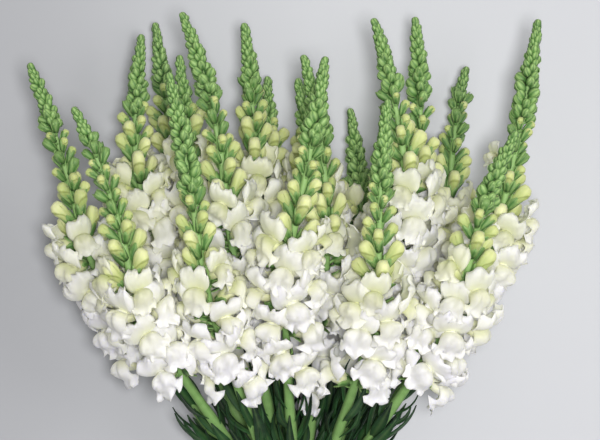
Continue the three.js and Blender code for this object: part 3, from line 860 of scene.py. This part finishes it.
def addTightBud(batch, spot, size, lean, out, chance):
    look = spike
    stand = (lean, 0, out)
    around = np.arange(look["sides"])
    share = np.array(look["shares"])[:, None]
    girth = size * np.array(look["girth"])[:, None] * (1 + look["lobes"] * (1 - 2 * (around % 2)))
    twist = turnsOf(look["sides"]) + chance.random() + 0.5 * share
    rings = leaned(stand, girth * np.cos(twist), share * size, -girth * np.sin(twist))
    ends = leaned(stand, 0, np.array([0, size * 1.03]), 0)
    edge = 0.84 * (around % 2) * np.clip(share * 1.6, 0, 1) + 0.24 * share ** 3
    paint = joined(look["kind"], edge, chance.random())
    addTube(batch, seated(spot, rings), seated(spot, ends), paint, (0, 0, 0))

    def bow(across, run):
        return across, -size * 0.46 * np.sin(np.clip(run / size, 0, 1) * 2.2 + 0.25)

    if size >= look["bractFrom"]:
        addSepal(batch, spot, stand, bow, size * 0.95, size * 0.56, look["kind"] + 0.1, chance)


# A leaf below the flowers. large and small say how far above the tie each one stands.
leaf = {
    "large": (84, 118), "small": (46, 62, 74, 96, 108, 128, 140, 154, 168, 88, 102, 120, 134),
    "smallSpread": (0.6, 0.95), "smallOut": (0.5, 1), "length": 62, "half": 5.5, "out": 18, "curl": 0.25,
    # The leaf kind gives the near-black green of painted shade.
    "thickness": 0.8, "kind": 1,
}


def addLeaf(batch, spot, length, half, out, chance):
    s, t = gridOf(10, 5)
    width = half * np.sin(pi * np.clip(t, 0.03, 0.985) ** 0.72) ** 0.85
    curl = chance.normal(0, leaf["curl"])
    x = width * s + length * 0.12 * curl * t ** 2
    z = 2 + out * np.sin(t * pi * 0.62) + 0.32 * width * np.abs(s) + 0.5 * np.sin(7 * t + curl * 9)
    paint = joined(leaf["kind"] - 0.25 * (1 - t), 0.10 * bell(s, 0, 0.2), chance.random())
    grain = joined(s * 0.5 + 0.3 * t, t, 0)
    addSheet(batch, seated(spot, joined(x, t * length, z), out + 5), leaf["thickness"], paint, grain)


# A stem is a little thicker below the flowers, counted from the tie, and between the large buds, counted from
# their foot.
stemLook = {
    "sides": 14, "rings": 96, "ridges": 5, "ridgeDepth": 0.07, "slimmer": 0.9, "lowSwell": 0.22,
    "lowSwells": ((20, 90, 150, 220), (0, 1, 1, 0)), "budSwell": 0.3,
    "budSwells": ((-60, -20, 40, 100), (0, 1, 1, 0)),
}


def stemRadiusAt(line, distance):
    marks = [line["held"], line["foot"] - line["bloomEnd"], line["foot"], line["length"]]
    return np.interp(distance, marks, [bunch[key] for key in ("stemFoot", "stemFlowers", "stemBuds", "stemTip")])


def stemSwell(line, distance):
    low = np.interp(distance - line["held"], *stemLook["lowSwells"])
    high = np.interp(distance - line["foot"], *stemLook["budSwells"])
    return 1 + stemLook["lowSwell"] * low + stemLook["budSwell"] * high


def addStem(batch, line):
    look = stemLook
    at = np.concatenate([[0, 0.6], np.linspace(2, line["length"], look["rings"])])[:, None]
    angle = turnsOf(look["sides"])
    radius = stemRadiusAt(line, at) * look["slimmer"] * stemSwell(line, at)
    radius = radius * (1 + look["ridgeDepth"] * np.cos(look["ridges"] * angle + at * 0.004))
    radius = radius * (1 + 0.03 * np.sin(at * 0.11 + line["number"]))
    radius[0] *= 0.93
    point, side, out = alongLine(line, at[:, 0])
    middle = (each[:, None] for each in (point, side, out))
    rings = besideLine(*middle, radius * np.cos(angle), radius * np.sin(angle))
    up = at - line["foot"]
    kind = 0.34 - 0.20 * rising(at - line["held"], 0, 90) - 0.06 * rising(up, -110, -50)
    paint = joined(kind, 0.05 + 0.26 * rising(up, -30, 10), 0.5)
    grain = joined(angle / 6.3 * 2, at * 0.01, at < 0.1)
    addTube(batch, rings[:, ::-1], [point[0], point[-1] + (point[-1] - point[-2]) * 0.3], paint, grain)


# Fine hairs on the upper stem, each a thin three-sided spike.
hairs = {
    "count": 230, "from": -15, "length": (0.8, 1.8), "thick": 0.09, "rise": 0.1, "bend": 0.35, "sunk": 0.86,
    "paint": (0.1, 0.6, 0.5),
}


def addHairs(batch, line, chance):
    look = hairs
    count = look["count"]
    start = line["foot"] + look["from"]
    at = start + (line["length"] - start) * chance.random(count)
    angle = chance.random(count) * 2 * pi
    point, side, out = alongLine(line, at)
    away = besideLine(0, side, out, np.cos(angle), np.sin(angle))
    along = np.cross(out, side)
    around = np.cross(along, away) * look["thick"]
    root = point + away * (stemRadiusAt(line, at) * look["sunk"] * stemSwell(line, at))[:, None]
    tall = chance.uniform(*look["length"], (count, 1))
    tip = root + away * tall + along * tall * chance.normal(look["rise"], look["bend"], (count, 1))
    ahead = along * look["thick"]
    points = np.stack([root + ahead, root - ahead / 2 + around, root - ahead / 2 - around, tip], 1)
    points[..., 2] = np.maximum(points[..., 2], squeeze["floor"])
    sides = np.array([[0, 1, 2], [1, 0, 3], [2, 1, 3], [0, 2, 3]])
    triangles = (np.arange(count)[:, None, None] * 4 + sides).reshape(-1, 3)
    addTo(batch, points, look["paint"], (0, 0, 0), triangles)


# The open flowers, from the youngest down. low is how far below the foot of the buds they end.
def growFlowers(white, green, line, foot, start, chance):
    look = flower
    longer = look["longer"].get(line["name"], 0.0)
    low = line["bloomEnd"] - look["bloomLow"] + longer - (line["foot"] - foot)
    count = look["perStem"][line["rings"]] + round(longer / look["longerEach"])
    slimSide, slimBelow = look["slimmer"].get(line["name"], (0, 0))
    for i in range(count):
        down = look["bloomHigh"] + (low - look["bloomHigh"]) * (i / (count - 1)) ** 0.95
        turn = start + golden * i + radians(chance.normal(0, look["turnSpread"]))
        sideways, outward = cos(turn), sin(turn)
        size = float(np.interp(down, *look["sizes"])) * chance.uniform(*look["sizeSpread"])
        size *= 1 + look["sideways"] * abs(sideways)
        age = float(np.interp(down, *look["ages"]))
        isGap = abs(sideways) > 0.7 and drawOf(line["number"], i + 40) > look["gapChance"]
        if (
            down > look["openBelow"] * low and outward < look["openSide"]
            or down > look["gapBelow"] and isGap
            or down > slimBelow and slimSide * sideways > 0.86
        ):
            continue
        hidden = outward < -0.3 or (line["layer"] < look["deep"] and down > 60)
        # Flowers on stems deep in the bunch get a lower tone and come out creamier: painted shade for the shade
        # they lie in.
        toneWithPaintedShade = age * (look["paintedShade"] if line["layer"] < look["paintedShadeBelow"] else 1)
        spot = (line, foot - down + rootDrop, turn)
        addFlower(white, spot, size * look["size"], age, toneWithPaintedShade, chance, coarseGrid if hidden else fineGrid)
        old, young = calyx["leans"]
        cup = (calyx["length"] * size ** 0.5, calyx["width"] * size)
        addFlowerCalyx(green, spot, size, old + (young - old) * (1 - age), *cup, chance, 3 if hidden else 4)
        addBract(green, (line, spot[1] - calyx["bractBelow"], turn), chance)
    for down, side, size in look["jutting"].get(line["name"], ()):
        spot = (line, foot - down, radians(side))
        addFlower(white, spot, size, look["juttingAge"], look["juttingTone"], chance, fineGrid)
        addFlowerCalyx(green, spot, size, look["juttingLean"], calyx["length"], calyx["width"], chance)


def whorlTurn(i):
    whorl, item = divmod(i, budShape["whorl"])
    return whorl * budShape["whorlTurn"] + item * 2 * pi / budShape["whorl"]


# The large buds and the small ones above them. It gives back the length that is left for the tight buds.
def growBuds(white, green, line, foot, start, chance):
    look = budShape
    reach = line["length"] - foot
    tight = reach * spike["shareOf"].get(line["name"], spike["share"])
    closer = min(1.0, (reach - tight) / (look["greenFrom"] + 8))
    allGreen = line["name"] in look["allGreen"]
    for i, (up, length, lean, age) in enumerate(look["large"]):
        turn = start + whorlTurn(i) + radians(chance.normal(0, look["turnSpread"]))
        length *= chance.uniform(*look["largeSpread"]) * (look["allGreenSize"] if allGreen else 1)
        lean = radians(lean + chance.normal(0, look["leanSpread"]))
        spot = (line, foot + up * (closer if up > 0 else 1), turn)
        addBudWithCalyx(white, green, spot, length, lean, age, chance, allGreen)
    first = look["greenFrom"] * closer
    longest, shortest = look["greenLength"]
    up, i = first, 0
    while up < reach - tight:
        share = (up - first) / (reach - tight - first)
        length = (longest + (shortest - longest) * share) * chance.uniform(*look["greenSpread"])
        turn = start + 1 + whorlTurn(i) + radians(chance.normal(0, look["turnSpread"]))
        lean = radians(look["greenLean"] + chance.normal(0, look["leanSpread"]))
        spot = (line, foot + up + look["greenStep"] * (i % look["whorl"]), turn)
        closed = allGreen or i % 3 == 2 or share > look["closedFrom"]
        addBudWithCalyx(white, green, spot, length, lean, look["greenAge"], chance, closed)
        i += 1
        if i % look["whorl"] == 0:
            up += look["whorl"] * look["greenPitch"] * (1 - 0.3 * share)
    return max(tight, reach - up + 2)


# The tight buds, from the tip down. One upright bud rounds off the tip.
def growTip(green, line, covered, start, chance):
    look = spike
    crown, end = look["crown"], line["length"]
    spot = (line, end - crown * look["sunk"], start)
    addTightBud(green, spot, crown, radians(look["crownLean"]), look["crownOut"], chance)
    down, i = 1.0, 0
    while down < covered:
        size = min(look["tipSize"] + look["grow"] * down, look["largest"]) * chance.uniform(*look["sizeSpread"])
        lean = max(look["leanTip"] - look["leanGrow"] * down, look["leanLeast"])
        lean = radians(lean + chance.normal(0, look["leanSpread"]))
        turn = start + golden * i + radians(chance.normal(0, look["turnSpread"]))
        out = 0.6 * float(stemRadiusAt(line, end - down)) + min(look["standOut"] * down, look["farthest"])
        addTightBud(green, (line, end - down - size * look["sunk"], turn), size, lean, out, chance)
        down += look["spacing"] * size
        i += 1


def growLeaves(green, line, chance):
    look = leaf
    for i, up in enumerate(look["large"]):
        spot = (line, line["held"] + up, golden * i + line["number"])
        addLeaf(green, spot, look["length"], look["half"], look["out"], chance)
    for i, up in enumerate(look["small"]):
        spot = (line, line["held"] + up, golden * (i + 3) + line["number"])
        length, half = (look[key] * chance.uniform(*look["smallSpread"]) for key in ("length", "half"))
        addLeaf(green, spot, length, half, look["out"] * chance.uniform(*look["smallOut"]), chance)


lines = [stemLine(number) for number in range(len(stemRows))]
for line in lines:
    line["room"] = roomTable(line, lines)
print("stems laid out:", len(lines))

for line in lines:
    name = line["name"]
    chance = np.random.default_rng(seed + line["number"])
    white, green = newBatch(), newBatch()
    foot = line["foot"] - flower["lower"].get(name, 0.0)
    start = pi / 2 + line["number"] * 1.1
    addStem(green, line)
    growFlowers(white, green, line, foot, start, chance)
    covered = growBuds(white, green, line, foot, start, chance)
    growTip(green, line, covered, start, chance)
    growLeaves(green, line, chance)
    addHairs(green, line, chance)
    # Stems deep in the bunch get darker greens: painted shade for the shade under the stems above them.
    if line["layer"] < flower["deep"]:
        green["paint"] = [paint + np.array([spike["deepPaintedShade"], 0, 0]) for paint in green["paint"]]
    makePiece("flowersOf_" + name, white, petals, "flowers_" + name)
    makePiece("greenOf_" + name, green, greenery, "stem_" + name)
print("flowers and stems made:", triangleCount["all"], "triangles")

tieLook = {"loops": 5, "half": 3.6, "out": 1.35, "wide": 1.35, "thick": 1.1, "steps": 96, "sides": 8}


def makeTie():
    look = tieLook
    chance = np.random.default_rng(seed + 100)
    batch = newBatch()
    angle = turnsOf(look["steps"])[:, None]
    section = turnsOf(look["sides"])
    index = np.arange(look["steps"] * look["sides"]).reshape(look["steps"], look["sides"])
    ahead, beside = np.roll(index, -1, axis=0), np.roll(index, -1, axis=1)
    quads = np.stack([index, ahead, np.roll(ahead, -1, axis=1), beside], -1).reshape(-1, 4)
    for i in range(look["loops"]):
        phase = chance.random() * 6.3
        middle = look["half"] * (2 * i / (look["loops"] - 1) - 1)
        y = middle + 0.5 * np.sin(angle + phase) + 0.25 * np.sin(3 * angle + phase)
        y = y + look["wide"] * (1 + 0.15 * np.sin(5 * angle + phase)) * np.sin(section)
        outward = bandInner + look["out"] + 0.2 * np.sin(2 * angle + phase) + look["thick"] * np.cos(section)
        points = joined(outward * np.cos(angle), y, tieHeight + outward * np.sin(angle))
        grain = joined(section / 6.3, angle, 0).reshape(-1, 3)
        addTo(batch, points, (0.5, 0.5, chance.random()), grain, quads)
    makePiece("strawTie", batch, straw, "tie")


makeTie()
print("tie made")

# Lengths are in metres. A light is its name, its place beside the tie, its size and its power.
studio = {
    "height": 2, "lookAtY": 0.3195, "lens": 126.67, "sensor": 36, "farthest": 20,
    # floor gives the sheet's colour from left to right, darker on the left as painted light falloff.
    "floor": ((-0.32, (0.40, 0.412, 0.452)), (0.08, (0.57, 0.587, 0.64))),
    "floorReach": 4, "floorRoughness": 0.9, "sky": 0.31, "skyTone": (1, 0.98, 0.935),
    "lights": (("keyLight", (0.12, 0.30, 2.3), 0.4, 39.6), ("sideLight", (1.2, 0.5, 1.6), 0.9, 9)),
    "lightsAt": (0, 0.3, 0.1), "warmth": (1, 0.98, 0.94),
}


def makeStudio():
    look = studio
    scene = bpy.context.scene
    material = bpy.data.materials.new("studioSheet")
    material.use_nodes = True
    tree = material.node_tree
    shader = tree.nodes["Principled BSDF"]
    # The sheet is painted a little darker on its left: painted shade that stands in for light falling off towards
    # the left.
    split = nodeIn(tree, "ShaderNodeSeparateXYZ")
    wire(nodeIn(tree, "ShaderNodeTexCoord").outputs["Object"], split.inputs[0])
    first, last = look["floor"][0][0], look["floor"][-1][0]
    stops = [((x - first) / (last - first), colour) for x, colour in look["floor"]]
    toneWithPaintedShade = rampIn(risingIn(split.outputs[0], first, last), stops)
    toneWithPaintedShade.node.color_ramp.interpolation = "EASE"
    wire(toneWithPaintedShade, shader.inputs["Base Color"])
    shader.inputs["Roughness"].default_value = look["floorRoughness"]
    mesh = bpy.data.meshes.new("studioFloor")
    reach = look["floorReach"]
    corners = [(-reach, -reach, 0), (reach, -reach, 0), (reach, reach, 0), (-reach, reach, 0)]
    mesh.from_pydata(corners, [], [(0, 1, 2, 3)])
    mesh.materials.append(material)
    sheet = placed("studioFloor", mesh)
    world = bpy.data.worlds.new("studioSky")
    scene.world = world
    world.use_nodes = True
    sky = world.node_tree.nodes["Background"]
    wire(look["skyTone"], sky.inputs["Color"])
    wire(look["sky"], sky.inputs["Strength"])
    target = Vector(origin) + Vector(look["lightsAt"])
    for name, place, size, power in look["lights"]:
        lamp = bpy.data.lights.new(name, "AREA")
        lamp.shape = "DISK"
        lamp.size = size
        lamp.energy = power
        lamp.color = look["warmth"]
        holder = placed(name, lamp, Vector(place) + Vector(origin))
        holder.rotation_euler = (target - holder.location).to_track_quat("-Z", "Y").to_euler()
    camera = bpy.data.cameras.new("studioCamera")
    camera.lens = look["lens"]
    camera.sensor_width = look["sensor"]
    camera.clip_end = look["farthest"]
    scene.camera = placed("studioCamera", camera, (origin[0], origin[1] + look["lookAtY"], look["height"]))
    scene.view_settings.view_transform = "Standard"


makeStudio()
print("studio made")
